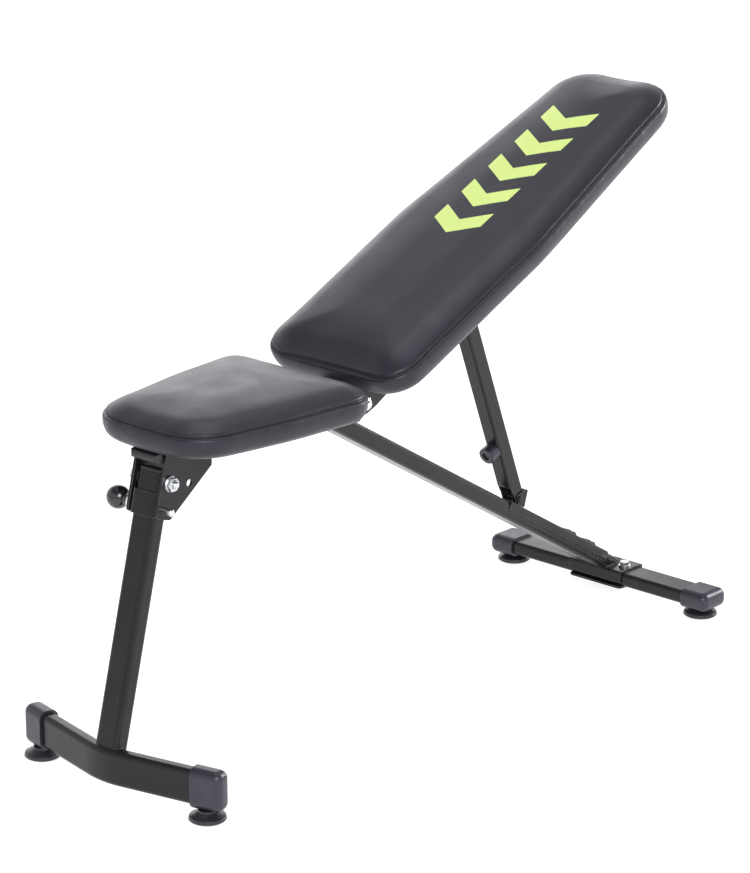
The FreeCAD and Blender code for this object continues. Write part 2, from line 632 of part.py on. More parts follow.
def make_back_frame():
    top = -PAD_T - BACK_BOARD_T
    middle = top - RAIL_T / 2
    length = BACK_RAIL_U[1] - BACK_RAIL_U[0]
    rail = lay_side(tube(RAIL_W, RAIL_T, length, 3.5), (BACK_RAIL_U[0], middle), 0)
    rail.translate(V(0, BACK_RAIL_Y, 0))
    for u, y in BACK_SCREWS:
        rail = rail.cut(Part.makeCylinder(M6 / 2, 60, V(u, abs(y), top - 50)))
    rail = rail.cut(rod_y(STRUT_PIVOT_U, -STRUT_PIVOT_N, 0, 90, M10))
    export("back_rails", on_back(both_sides(rail)))

    plug_core = bar(RAIL_W - 2 * WALL, RAIL_T - 2 * WALL, 12, 1.7)
    plug_rim = bar(RAIL_W, RAIL_T, 3, 3.5)
    head = lay_side(plug_rim, (BACK_RAIL_U[1], middle), 0).fuse(
        lay_side(plug_core, (BACK_RAIL_U[1] - 12, middle), 0))
    head.translate(V(0, BACK_RAIL_Y, 0))
    export("back_rail_plugs", on_back(both_sides(head)))

    inner = BACK_RAIL_Y - RAIL_W / 2
    cross = tube(RAIL_W, RAIL_W, 2 * inner, 3.5)
    cross.rotate(V(0, 0, 0), V(1, 0, 0), -90)
    cross.translate(V(BACK_CROSS_U, -inner, top - RAIL_W / 2))
    export("back_cross_tube", on_back(cross))

    screws = []
    for u, y in BACK_SCREWS:
        shank = Part.makeCylinder(M6 / 2, RAIL_T + BACK_BOARD_T, V(u, y, top - RAIL_T))
        button = Part.makeCylinder(6.0, 3.4, V(u, y, top - RAIL_T - 3.4))
        screws.append(button.fuse(shank).removeSplitter())
    export("back_screws", on_back(group(screws)))


def make_back_hinge_plates():
    """Two plates inside the backrest rails, down to the hinge bolt."""
    top = -PAD_T - BACK_BOARD_T
    corners = [(2, top, 0), (2, -84, 6), (16, -95.5, 6), (38, -96.6, 3), (62, -95, 6), (130, top - RAIL_T, 10),
               (130, top, 0)]
    plate = plate_y(corners, BACK_PLATE_IN, BACK_PLATE_OUT)
    placed = on_back(plate).cut(rod_y(HINGE[0], HINGE[1], 0, 60, M10 + 2 * SHAFT_GAP))
    export("back_hinge_plates", both_sides(placed))


def make_strut_spacers():
    """Sleeves on the strut bolt that keep the strut in the middle between the rails."""
    inner = STRUT_W / 2 + SIDE_GAP + 2.0
    sleeve = ring_y(STRUT_PIVOT[0], STRUT_PIVOT[1], inner, BACK_RAIL_Y - RAIL_W / 2, 17, M10)
    export("strut_spacers", both_sides(sleeve))


# ---- strut --------------------------------------------------------------------------------------
def make_strut():
    end = 13.0
    half = STRUT_W / 2
    body = lay_side(tube(STRUT_W, STRUT_W, STRUT_LEN + 2 * end, 3.5), along(FOOT, STRUT_ANGLE, -end),
                    STRUT_ANGLE)
    # both ends follow an arc about their own pivot, so neither end catches as the strut turns
    foot_r = FOOT_N - LADDER_TOP - 0.5
    top_r = half
    relief = foot_r - 0.6
    outline = [strut_corner(34, -half, 20), strut_corner(12, -relief, 20), strut_corner(-foot_r, -relief, relief - 1),
               strut_corner(-foot_r, half, foot_r - 0.2),
               strut_corner(STRUT_LEN + top_r, half, top_r - 0.2),
               strut_corner(STRUT_LEN + top_r, -half, top_r - 0.2)]
    body = body.common(plate_y(outline, -half - 1, half + 1))
    # the lower end is forked: front wall cut back to straddle a saddle, rear wall less
    gap = half - 2.0
    fork = plate_y([strut_corner(-20, -half - 5, 0), strut_corner(FORK_CUT, -half - 5, 0), strut_corner(FORK_CUT, -7, 3),
                    strut_corner(14, 3, 3), strut_corner(14, half + 5, 0), strut_corner(-20, half + 5, 0)],
                   -gap, gap)
    body = body.cut(fork)
    body = body.cut(rod_y(FOOT[0], FOOT[1], -40, 40, FOOT_PIN_D))
    body = body.cut(rod_y(STRUT_PIVOT[0], STRUT_PIVOT[1], -40, 40, 14))
    screw_at = along(FOOT, STRUT_ANGLE, BUMPER_T, 0)
    front = along(FOOT, STRUT_ANGLE, BUMPER_T, half + BUMPER_LEN)
    direction = V(front[0] - screw_at[0], 0, front[1] - screw_at[1]).normalize()
    start = V(screw_at[0], 0, screw_at[1])
    body = body.cut(Part.makeCylinder(M6 / 2, half + 2, start, direction))
    export("strut_tube", body)

    bumper = Part.makeCylinder(BUMPER_R, BUMPER_LEN, start + direction * half, direction)
    bumper = soft_edges(bumper, 1.5, lambda e: (e.CenterOfMass - start).dot(direction) > half + BUMPER_LEN - 0.1)
    well = Part.makeCylinder(6.0, 6.0, start + direction * (half + BUMPER_LEN - 6), direction)
    shank = Part.makeCylinder(M6 / 2, half + BUMPER_LEN - 6 - (half - 10), start + direction * (half - 10),
                              direction)
    head = Part.makeCylinder(5.4, 3.6, start + direction * (half + BUMPER_LEN - 6), direction)
    export("bumper", bumper.cut(well).cut(shank))
    export("bumper_screw", head.fuse(shank).removeSplitter())

    sleeve = ring_y(STRUT_PIVOT[0], STRUT_PIVOT[1], half - WALL, half, 14, M10 + 2 * SHAFT_GAP)
    flange = ring_y(STRUT_PIVOT[0], STRUT_PIVOT[1], half, half + 2.0, 18, M10 + 2 * SHAFT_GAP)
    export("strut_bushes", both_sides(sleeve.fuse(flange).removeSplitter()))

    pin = rod_y(FOOT[0], FOOT[1], -half - 4.5, half + 4.5, FOOT_PIN_D)
    export("foot_pin", soft_edges(pin, 1.0, lambda e: e.BoundBox.YLength < 0.01))
    make_foot_catch(half)


def make_foot_catch(half):
    """Strap round the back of the strut's foot; it drops behind the saddle as a keeper."""
    sheet = 2.0
    side = [strut_corner(8, -3, 3), strut_corner(8, 12, 3), strut_corner(3, 20.4, 2),
            strut_corner(-18.2, 3.6, 2), strut_corner(-12.8, -0.8, 3), strut_corner(-6, -6.0, 3)]
    inside = [strut_corner(30, -12, 0), strut_corner(30, 12, 0), strut_corner(4.2, 18.0, 2),
              strut_corner(-22.0, -2.0, 0), strut_corner(-30, -12, 0)]
    outer = plate_y(side, -half - sheet, half + sheet)
    hollow = plate_y(inside, -half, half)
    catch = outer.cut(hollow)
    catch = catch.cut(rod_y(FOOT[0], FOOT[1], -40, 40, FOOT_PIN_D))
    export("foot_catch", catch)


# ---- build --------------------------------------------------------------------------------------
def main():
    os.makedirs("parts", exist_ok=True)
    make_seat_rail()
    make_seat_rail_cap()
    make_seat()
    make_seat_screws()
    make_main_beam()
    make_leg_bracket()
    make_hinge_ears()
    make_ladder_plate()
    make_ladder_saddles()
    make_rear_foot()
    foot_bar = make_front_foot()
    make_leg(foot_bar)
    make_lock_pin()
    make_backrest_pad()
    make_back_frame()
    make_back_hinge_plates()
    make_strut_spacers()
    make_strut()
    fastener_set("leg_pivot", LEG_PIVOT, PLATE_OUT)
    fastener_set("back_hinge", HINGE, BACK_PLATE_OUT + SIDE_GAP)
    fastener_set("strut_pivot", STRUT_PIVOT, BACK_RAIL_Y + RAIL_W / 2)
    for name, place in (("leg pivot", LEG_PIVOT), ("backrest hinge", HINGE), ("strut pivot", STRUT_PIVOT),
                        ("strut foot", FOOT), ("lock pin", LOCK_POINT)):
        print("%s x %.4f z %.4f" % (name, place[0] - FRAME_CENTRE_X, place[1]))


main()
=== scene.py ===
"""Looks of the folding adjustable weight bench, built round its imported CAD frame.
Everything is in metres, in the frame of the CAD model."""

import json
import math

import bmesh
import bpy
import numpy as np
from mathutils import Matrix, Vector, noise
from mathutils.bvhtree import BVHTree


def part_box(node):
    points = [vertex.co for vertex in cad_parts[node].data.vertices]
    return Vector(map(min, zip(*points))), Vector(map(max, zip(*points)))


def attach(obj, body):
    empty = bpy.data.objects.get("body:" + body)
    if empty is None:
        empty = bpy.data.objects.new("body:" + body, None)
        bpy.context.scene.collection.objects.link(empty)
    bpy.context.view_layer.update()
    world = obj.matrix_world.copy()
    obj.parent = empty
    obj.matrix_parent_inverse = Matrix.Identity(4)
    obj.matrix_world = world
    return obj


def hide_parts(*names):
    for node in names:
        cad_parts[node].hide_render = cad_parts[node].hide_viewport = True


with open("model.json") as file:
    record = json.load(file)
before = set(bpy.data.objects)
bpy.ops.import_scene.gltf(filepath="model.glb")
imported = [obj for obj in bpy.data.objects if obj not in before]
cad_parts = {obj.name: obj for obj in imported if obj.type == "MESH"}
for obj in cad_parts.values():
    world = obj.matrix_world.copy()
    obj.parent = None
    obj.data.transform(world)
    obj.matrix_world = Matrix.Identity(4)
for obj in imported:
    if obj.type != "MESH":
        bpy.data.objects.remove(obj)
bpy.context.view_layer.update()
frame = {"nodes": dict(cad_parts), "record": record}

MM = 0.001
BACK_TILT = math.radians(24.4)
SEAT_FRONT_SHARE = 0.7146       # half width at the front of the seat, as a share of the rear
SEAT_FRONT_R, SEAT_REAR_R = 72 * MM, 47 * MM
SEAT_BOW = 7 * MM               # how far the middles of the seat's front and sides stand out
SEAT_BOW_R = 180 * MM           # radius of those bows
BACK_LOW_SHARE, BACK_TOP_SHARE = 0.989, 0.746
BACK_WIDEST = 0.462             # share of the length at which the backrest is widest
BACK_LOW_R, BACK_TOP_R = 52 * MM, 68 * MM
SEAM_DROP = 11 * MM             # seam below the top face
SEAM_BAND = 5.5 * MM            # half the height of the finer mesh round the seam
GROOVE_DEPTH, GROOVE_WIDTH = 2.3 * MM, 1.5 * MM
LIP_HEIGHT, LIP_OFFSET, LIP_WIDTH = 0.65 * MM, 4.4 * MM, 2.4 * MM
PUCKER = 0.38 * MM              # depth of the gathers along the seam
UNEVEN = 0.35 * MM              # soft unevenness of the foam
SEAM_CORD_R = 0.75 * MM
VOXEL = 5 * MM
CROWN = 9.5 * MM                # rise of a pad's top from its edge to its middle
SWELL = 4.2 * MM                # most that the cloth simulation may move a point
TAUT_PASSES = 60                # smoothing passes over that movement
CLOTH_FRAMES = 20
CLOTH_PRESSURE = 4.0
STAPLED = 6 * MM                # the cloth is held up to this height above its underside
BOARD_CLEAR = 0.6 * MM          # the cover's turned-under edge stays this far above the board's underside
RECESS_INSET = 26 * MM          # the cover is turned under as far as this from the pad's edge
EDGE_RISE, MIDDLE_RISE = 0.45, 0.55     # shares of the crown gained near the edge and further in
M10_FLATS, M8_FLATS = 17 * MM, 13 * MM
M10, M8 = 10 * MM, 8 * MM
M10_PITCH, M8_PITCH = 1.5 * MM, 1.25 * MM
THREAD_LENGTH = 20 * MM
HEX_SIDES = 72                  # points round a nut or a bolt head
SHARP_ANGLE = math.radians(28)
WELD_STEP = 0.5 * MM            # spacing of a bead's rings
WELD_RIPPLE = 2.1 * MM
TUBE_WELD_HALF = 19 * MM        # half the length of a weld across a 40 mm tube
FLOOR_HALF = 60                 # half the side of the floor


def node_points(node):
    return np.array([v.co for v in frame["nodes"][node].data.vertices])


# ---- materials ----------------------------------------------------------------------------------
class Shader:
    """A small helper round one node material."""

    def __init__(self, name, **fixed):
        self.material = bpy.data.materials.new(name)
        self.material.use_nodes = True
        self.tree = self.material.node_tree
        self.surface = self.tree.nodes["Principled BSDF"]
        for socket, value in fixed.items():
            self.surface.inputs[socket.replace("_", " ")].default_value = value
        self.coords = self.add("ShaderNodeTexCoord").outputs["Object"]

    def add(self, kind, settings=None, **inputs):
        node = self.tree.nodes.new(kind)
        for key, value in (settings or {}).items():
            setattr(node, key, value)
        for socket, value in inputs.items():
            self.feed(node.inputs[socket.replace("_", " ")], value)
        return node

    def feed(self, socket, value):
        if isinstance(value, bpy.types.NodeSocket):
            self.tree.links.new(value, socket)
        else:
            socket.default_value = value

    def math(self, operation, first, second=0.0):
        node = self.add("ShaderNodeMath", {"operation": operation})
        self.feed(node.inputs[0], first)
        self.feed(node.inputs[1], second)
        return node.outputs[0]

    def stretched(self, scale):
        """Object coordinates scaled differently along each axis."""
        return self.add("ShaderNodeMapping", Vector=self.coords, Scale=scale).outputs[0]

    def noise(self, scale, detail=3.0, coords=None, distortion=0.0):
        node = self.add("ShaderNodeTexNoise", Vector=coords or self.coords, Scale=scale, Detail=detail,
                        Distortion=distortion)
        return node.outputs["Fac"]

    def ramp(self, factor, *stops):
        node = self.add("ShaderNodeValToRGB", Fac=factor)
        elements = node.color_ramp.elements
        while len(elements) < len(stops):
            elements.new(0.5)
        for element, (position, color) in zip(elements, stops):
            element.position = position
            element.color = (*color, 1)
        return node.outputs[0]

    def span(self, factor, low, high, start=0.3, end=0.7):
        node = self.add("ShaderNodeMapRange", Value=factor, From_Min=start, From_Max=end, To_Min=low,
                        To_Max=high)
        return node.outputs[0]

    def mix(self, factor, first, second):
        node = self.add("ShaderNodeMix", {"data_type": "RGBA"})
        self.feed(node.inputs[0], factor)
        self.feed(node.inputs[6], first)
        self.feed(node.inputs[7], second)
        return node.outputs[2]

    def bump(self, height, distance, strength=1.0, below=None):
        node = self.add("ShaderNodeBump", Height=height, Distance=distance, Strength=strength)
        if below is not None:
            self.feed(node.inputs["Normal"], below)
        return node.outputs[0]

    def rounded(self, radius):
        return self.add("ShaderNodeBevel", {"samples": 4}, Radius=radius).outputs[0]

    def sharp_edges(self, radius):
        """Mask of the sharp edges: where the rounded normal turns away from the face's own."""
        dot = self.add("ShaderNodeVectorMath", {"operation": "DOT_PRODUCT"})
        self.feed(dot.inputs[0], self.rounded(radius))
        self.feed(dot.inputs[1], self.add("ShaderNodeNewGeometry").outputs["Normal"])
        return self.span(dot.outputs["Value"], 1.0, 0.0, 0.90, 0.985)

    def finish(self, **inputs):
        for socket, value in inputs.items():
            self.feed(self.surface.inputs[socket.replace("_", " ")], value)
        return self.material


def vinyl(name, printed=None):
    """Upholstery vinyl: a fine pebbled grain, soft sheen, faint handling marks."""
    s = Shader(name, Specular_IOR_Level=0.48, Specular_Tint=(0.90, 0.87, 1.0, 1), Sheen_Weight=0.06,
               Sheen_Roughness=0.45)
    base = s.ramp(s.noise(7.0, 4.0), (0.3, (0.0085, 0.0088, 0.0125)), (0.72, (0.0125, 0.0130, 0.0185)))
    color = base
    if printed is not None:
        color = s.mix(printed(s), base, s.ramp(s.noise(900.0, 2.0), (0.3, (0.60, 0.76, 0.20)),
                                               (0.7, (0.66, 0.82, 0.24))))
    cells = s.add("ShaderNodeTexVoronoi", {"feature": "SMOOTH_F1"}, Vector=s.coords, Scale=620.0,
                  Smoothness=0.5).outputs["Distance"]
    grain = s.bump(cells, 0.10 * MM, 0.55)
    creases = s.bump(s.noise(46.0, 5.0, distortion=0.6), 0.35 * MM, 0.30, grain)
    rough = s.math("ADD", s.span(s.noise(24.0, 5.0), 0.33, 0.42), s.span(cells, -0.02, 0.05, 0.1, 0.7))
    return s.finish(Base_Color=color, Roughness=rough, Normal=creases)


def chevrons(start, count, pitch, share, half_width, slope, origin, tilt):
    """A plain band of chevrons along the middle of the backrest, as a mask for the printed colour."""
    def mask(s):
        dot = s.add("ShaderNodeVectorMath", {"operation": "DOT_PRODUCT"})
        s.feed(dot.inputs[0], s.coords)
        dot.inputs[1].default_value = (math.cos(tilt), 0.0, math.sin(tilt))
        parts = s.add("ShaderNodeSeparateXYZ", Vector=s.coords)
        across = s.math("ABSOLUTE", parts.outputs["Y"])
        up = s.math("SUBTRACT", dot.outputs["Value"], origin + start)
        run = s.math("ADD", up, s.math("MULTIPLY", across, slope))
        turns = s.math("DIVIDE", run, pitch)
        stripe = s.math("LESS_THAN", s.math("FRACT", turns), share)
        inside = s.math("MULTIPLY", s.math("GREATER_THAN", turns, 0.0), s.math("LESS_THAN", turns, count))
        narrow = s.math("LESS_THAN", across, half_width)
        return s.math("MULTIPLY", s.math("MULTIPLY", stripe, inside), narrow)
    return mask


def powder_coat(name, dark=(0.0085, 0.0085, 0.0095), light=(0.0135, 0.0135, 0.0150), rough=(0.20, 0.28)):
    """Satin powder coat: a faint orange-peel surface, with lighter, rougher streaks painted in as streak
    highlights, and painted highlights along its sharp edges.
    """
    s = Shader(name, Specular_IOR_Level=0.28)
    base = s.ramp(s.noise(14.0, 5.0), (0.3, dark), (0.75, light))
    streaks = s.noise(60.0, 8.0, s.stretched((1.0, 1.0, 0.22)), 1.2)
    # painted highlight: lighter streaks mixed into the colour as streak highlights; the same streaks are also
    # made a little rougher
    streak_highlight_mask = s.ramp(streaks, (0.66, (0, 0, 0)), (0.78, (1, 1, 1)))
    with_painted_streaks = s.mix(s.math("MULTIPLY", streak_highlight_mask, 0.16), base, (0.07, 0.07, 0.075, 1))
    # painted highlight: the sharp edges are painted a lighter grey, standing in for the bright edge lines
    # that light draws on them
    painted_edge_highlight = s.math("MULTIPLY", s.sharp_edges(1.3 * MM), s.span(s.noise(75.0, 5.0), 0.15, 0.75, 0.35, 0.6))
    color = s.mix(painted_edge_highlight, with_painted_streaks, (0.20, 0.20, 0.21, 1))
    peel = s.bump(s.noise(520.0, 2.0), 0.05 * MM, 0.5, s.rounded(0.7 * MM))
    level = s.math("ADD", s.span(s.noise(34.0, 6.0), *rough), s.math("MULTIPLY", streak_highlight_mask, 0.10))
    return s.finish(Base_Color=color, Roughness=level, Normal=peel)


def plated(name):
    """Bright zinc plate with a faint cloudy passivation and drawing marks."""
    s = Shader(name, Metallic=1.0)
    color = s.ramp(s.noise(130.0, 5.0), (0.3, (0.50, 0.52, 0.56)), (0.55, (0.70, 0.71, 0.72)),
                   (0.78, (0.66, 0.65, 0.58)))
    marks = s.noise(900.0, 3.0, s.stretched((1.0, 0.12, 1.0)))
    normal = s.bump(marks, 0.03 * MM, 0.5, s.rounded(0.35 * MM))
    return s.finish(Base_Color=color, Roughness=s.span(s.noise(220.0, 4.0), 0.20, 0.36), Normal=normal)


def moulded(name, dark, light, rough, texture_scale, texture_depth, **fixed):
    """Moulded rubber or plastic with an eroded tool texture."""
    s = Shader(name, **fixed)
    color = s.ramp(s.noise(32.0, 6.0), (0.3, dark), (0.72, light))
    texture = s.bump(s.noise(texture_scale, 4.0), texture_depth, 0.6, s.rounded(0.6 * MM))
    return s.finish(Base_Color=color, Roughness=s.span(s.noise(70.0, 6.0), *rough), Normal=texture)


def stained_board(name):
    """Dark stained plywood with long grain."""
    s = Shader(name, Specular_IOR_Level=0.3)
    grain = s.noise(120.0, 8.0, s.stretched((0.08, 1.0, 0.5)), 1.5)
    color = s.ramp(grain, (0.3, (0.012, 0.010, 0.009)), (0.7, (0.040, 0.032, 0.026)))
    return s.finish(Base_Color=color, Roughness=s.span(grain, 0.62, 0.80),
                    Normal=s.bump(grain, 0.2 * MM, 0.5))


def seam_thread(name):
    s = Shader(name)
    twist = s.noise(1500.0, 2.0, s.stretched((1.0, 1.0, 0.4)))
    color = s.ramp(twist, (0.3, (0.003, 0.003, 0.004)), (0.7, (0.009, 0.009, 0.011)))
    return s.finish(Base_Color=color, Roughness=s.span(twist, 0.6, 0.75),
                    Normal=s.bump(twist, 0.1 * MM, 0.6))


def backrest_axes():
    """Length direction, thickness direction, and the low and high ends of the backrest pad along them."""
    along = Vector((math.cos(BACK_TILT), 0, math.sin(BACK_TILT)))
    up = Vector((-math.sin(BACK_TILT), 0, math.cos(BACK_TILT)))
    points = node_points("back_pad")
    u, n = points @ np.array(along), points @ np.array(up)
    return along, up, (u.min(), u.max()), (n.min(), n.max())


BACK_ALONG, BACK_UP, BACK_U, BACK_N = backrest_axes()

MATERIAL = {
    "vinyl": vinyl("seat_vinyl"),
    "printed_vinyl": vinyl("backrest_vinyl",
                           chevrons(0.285, 5, 0.063, 0.50, 0.042, -0.62, BACK_U[0], BACK_TILT)),
    "seam": seam_thread("seam_thread"),
    "board": stained_board("stained_board"),
    "frame_paint": powder_coat("powder_coat"),
    "weld": powder_coat("painted_weld", rough=(0.18, 0.26)),
    "zinc": plated("zinc_plate"),
    "rubber": moulded("foot_rubber", (0.013, 0.013, 0.018), (0.022, 0.022, 0.030), (0.30, 0.42),
                      900.0, 0.06 * MM, Specular_IOR_Level=0.62, Specular_Tint=(0.90, 0.88, 1.0, 1)),
    "glide": moulded("glide_rubber", (0.016, 0.016, 0.020), (0.030, 0.030, 0.036), (0.24, 0.34),
                     700.0, 0.08 * MM),
    "black_plastic": moulded("black_plastic", (0.010, 0.010, 0.012), (0.018, 0.018, 0.021), (0.36, 0.48),
                             1200.0, 0.04 * MM),
    "knob": moulded("gloss_knob", (0.006, 0.006, 0.008), (0.009, 0.009, 0.011), (0.13, 0.22),
                    500.0, 0.01 * MM, Coat_Weight=0.5, Coat_Roughness=0.08),
}

NODE_SLOTS = {part["node"]: part["material_slot"] for part in frame["record"]["subparts"]}
for node_name, node_object in frame["nodes"].items():
    node_object.data.materials.clear()
    kind = "glide" if node_name in ("front_glides", "rear_glides") else NODE_SLOTS[node_name]
    node_object.data.materials.append(MATERIAL[kind])


# ---- making pieces ------------------------------------------------------------------------------
def mesh_object(name, vertices, faces, material):
    mesh = bpy.data.meshes.new(name)
    mesh.from_pydata([tuple(v) for v in vertices], [], faces)
    mesh.validate()
    bm = bmesh.new()
    bm.from_mesh(mesh)
    bmesh.ops.recalc_face_normals(bm, faces=bm.faces)
    bm.to_mesh(mesh)
    bm.free()
    mesh.shade_smooth()
    mesh.materials.append(material)
    piece = bpy.data.objects.new(name, mesh)
    bpy.context.scene.collection.objects.link(piece)
    return piece


def loft(rings, caps=True):
    """Vertices and faces through closed rings of equal length."""
    count = len(rings[0])
    vertices = [point for ring in rings for point in ring]
    faces = []
    for i in range(len(rings) - 1):
        for j in range(count):
            k = (j + 1) % count
            faces.append((i * count + j, i * count + k, (i + 1) * count + k, (i + 1) * count + j))
    if caps:
        faces.append(tuple(range(count - 1, -1, -1)))
        faces.append(tuple((len(rings) - 1) * count + j for j in range(count)))
    return vertices, faces


def applied(piece, kind, **settings):
    """Add a modifier, take the evaluated mesh as the piece's own, and leave no modifier behind."""
    modifier = piece.modifiers.new(kind.lower(), kind)
    for key, value in settings.items():
        setattr(modifier, key, value)
    take_evaluated(piece)


def take_evaluated(piece):
    graph = bpy.context.evaluated_depsgraph_get()
    shaped = bpy.data.meshes.new_from_object(piece.evaluated_get(graph), depsgraph=graph)
    piece.modifiers.clear()
    piece.data = shaped


def points_of(mesh):
    flat = np.zeros(len(mesh.vertices) * 3)
    mesh.vertices.foreach_get("co", flat)
    return flat.reshape(-1, 3)


def set_points(mesh, points):
    mesh.vertices.foreach_set("co", np.asarray(points, float).ravel())
    mesh.update()


def normals_of(mesh):
    flat = np.zeros(len(mesh.vertices) * 3)
    mesh.vertices.foreach_get("normal", flat)
    return flat.reshape(-1, 3)


def rounded_outline(corners, step=4 * MM):
    """Points round a polygon whose corners (x, y, radius) are replaced by arcs, evenly spaced."""
    dense = []
    count = len(corners)
    for i in range(count):
        point = Vector(corners[i][:2])
        to_before = (Vector(corners[i - 1][:2]) - point).normalized()
        to_after = (Vector(corners[(i + 1) % count][:2]) - point).normalized()
        radius = corners[i][2]
        half = to_before.angle(to_after) / 2
        center = point + (to_before + to_after).normalized() * (radius / math.sin(half))
        start = point + to_before * (radius / math.tan(half)) - center
        sweep = math.pi - 2 * half
        turn = math.copysign(sweep, to_after.x * to_before.y - to_after.y * to_before.x)
        for k in range(25):
            angle = turn * k / 24
            dense.append(center + Vector((start.x * math.cos(angle) - start.y * math.sin(angle),
                                          start.x * math.sin(angle) + start.y * math.cos(angle))))
    dense = np.array([tuple(p) for p in dense])
    closed = np.vstack([dense, dense[:1]])
    lengths = np.concatenate([[0], np.cumsum(np.linalg.norm(np.diff(closed, axis=0), axis=1))])
    places = np.linspace(0, lengths[-1], int(lengths[-1] / step), endpoint=False)
    return np.stack([np.interp(places, lengths, closed[:, axis]) for axis in (0, 1)], axis=1)


def outward_normals(outline):
    tangent = np.roll(outline, -1, axis=0) - np.roll(outline, 1, axis=0)
    normal = np.stack([tangent[:, 1], -tangent[:, 0]], axis=1)
    normal /= np.linalg.norm(normal, axis=1, keepdims=True)
    if np.sum((outline - outline.mean(0)) * normal) < 0:
        normal = -normal
    return normal


def edge_distance(points, outline):
    """Distance from each point to the outline, in the plane."""
    best = np.full(len(points), 1e9)
    for start in range(0, len(points), 4000):
        block = points[start:start + 4000]
        gap = block[:, None, :] - outline[None, :, :]
        best[start:start + 4000] = np.sqrt((gap ** 2).sum(2).min(1))
    return best


def smooth_step(value, low, high):
    t = np.clip((value - low) / (high - low), 0, 1)
    return t * t * (3 - 2 * t)


def pad_section(t, wrap):
    """Inset and height of the rings of a pad, from the recess for its board, round the edge, to the top.
    Heights are from the pad's underside; wrap is how far the cover reaches down round the board."""
    low = -wrap
    return [(RECESS_INSET, 0.0), (RECESS_INSET, low), (16 * MM, low + 0.5 * MM), (9 * MM, low + 3.5 * MM),
            (4 * MM, low + 8 * MM), (1 * MM, low + 15 * MM),
            (-0.6 * MM, t - 22 * MM), (-0.4 * MM, t - 17 * MM),
            (1.6 * MM, t - SEAM_DROP - 2.5 * MM), (3.4 * MM, t - SEAM_DROP), (4.4 * MM, t - 9.4 * MM),
            (8 * MM, t - 6.8 * MM), (15 * MM, t - 4.2 * MM), (25 * MM, t - 2.0 * MM), (40 * MM, t - 0.8 * MM)]


def pad(name, outline, thickness, wrap, place, material, body, node):
    """An upholstered pad: a foam slab in a sewn vinyl cover.  It is shaped flat, with its underside at
    z = 0, blown up a little by a cloth simulation, given its seam, then moved to its place."""
    outward = outward_normals(outline)
    t = thickness
    rings = []
    for inset, height in pad_section(t, wrap):
        ring = outline - outward * inset
        rings.append([(p[0], p[1], height) for p in ring])
    vertices, faces = loft(rings)
    piece = mesh_object(name, vertices, faces, material)
    applied(piece, "REMESH", mode="VOXEL", voxel_size=VOXEL)
    applied(piece, "SMOOTH", factor=0.5, iterations=3)

    points = points_of(piece.data)
    inside = edge_distance(points[:, :2], outline)
    top = smooth_step(points[:, 2], t - 12 * MM, t - 3 * MM)
    points[:, 2] += top * CROWN * (EDGE_RISE * smooth_step(inside, 3 * MM, 34 * MM)
                                   + MIDDLE_RISE * smooth_step(inside, 14 * MM, 105 * MM))
    set_points(piece.data, points)
    inflate(piece, points, -wrap)
    applied(piece, "SUBSURF", levels=1, render_levels=1)
    refine_seam(piece, outline, t)
    sew(piece, outline, t)
    points = points_of(piece.data)
    points[:, 2] = np.maximum(points[:, 2], -wrap)
    set_points(piece.data, points)
    piece.data.transform(place)
    piece.data.shade_smooth()
    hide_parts(node)
    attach(piece, body)
    return piece


def evened(mesh, field, passes):
    """A vector at each point, averaged with its neighbours': a taut cover keeps its swell but no wrinkles."""
    ends = np.zeros(len(mesh.edges) * 2, dtype=int)
    mesh.edges.foreach_get("vertices", ends)
    first, second = ends.reshape(-1, 2).T
    count = np.bincount(np.concatenate([first, second]), minlength=len(field))[:, None]
    for _ in range(passes):
        total = np.zeros_like(field)
        np.add.at(total, first, field[second])
        np.add.at(total, second, field[first])
        field = 0.4 * field + 0.6 * total / np.maximum(count, 1)
    return field


def inflate(piece, rest, underside):
    """Cloth under slight pressure, held at the stapled underside; the swelling is capped and evened."""
    pinned = piece.vertex_groups.new(name="stapled")
    for index, point in enumerate(rest):
        if point[2] < underside + STAPLED:
            pinned.add([index], 1.0, "REPLACE")
    cloth = piece.modifiers.new("cover", "CLOTH")
    cloth.settings.use_pressure = True
    cloth.settings.uniform_pressure_force = CLOTH_PRESSURE
    cloth.settings.effector_weights.gravity = 0.0
    cloth.settings.vertex_group_mass = "stapled"
    cloth.settings.quality = 4
    cloth.collision_settings.use_collision = False
    scene = bpy.context.scene
    for number in range(1, CLOTH_FRAMES + 1):
        scene.frame_set(number)
    graph = bpy.context.evaluated_depsgraph_get()
    swollen = points_of(piece.evaluated_get(graph).data)
    piece.modifiers.clear()
    piece.vertex_groups.clear()
    scene.frame_set(1)
    move = swollen - rest
    length = np.linalg.norm(move, axis=1, keepdims=True)
    move *= SWELL * np.tanh(length / SWELL) / np.maximum(length, 1e-9)
    move = evened(piece.data, move, TAUT_PASSES)
    set_points(piece.data, rest + move)


def refine_seam(piece, outline, t):
    """Halve the mesh in a band round the seam, so that the groove has points to follow."""
    points = points_of(piece.data)
    inside = edge_distance(points[:, :2], outline)
    near = (np.abs(points[:, 2] - (t - SEAM_DROP)) < SEAM_BAND) & (inside < 12 * MM)
    bm = bmesh.new()
    bm.from_mesh(piece.data)
    bm.verts.ensure_lookup_table()
    edges = [e for e in bm.edges if near[e.verts[0].index] and near[e.verts[1].index]]
    bmesh.ops.subdivide_edges(bm, edges=edges, cuts=1, use_grid_fill=True)
    bmesh.ops.triangulate(bm, faces=[f for f in bm.faces if len(f.verts) > 4])
    bm.to_mesh(piece.data)
    bm.free()


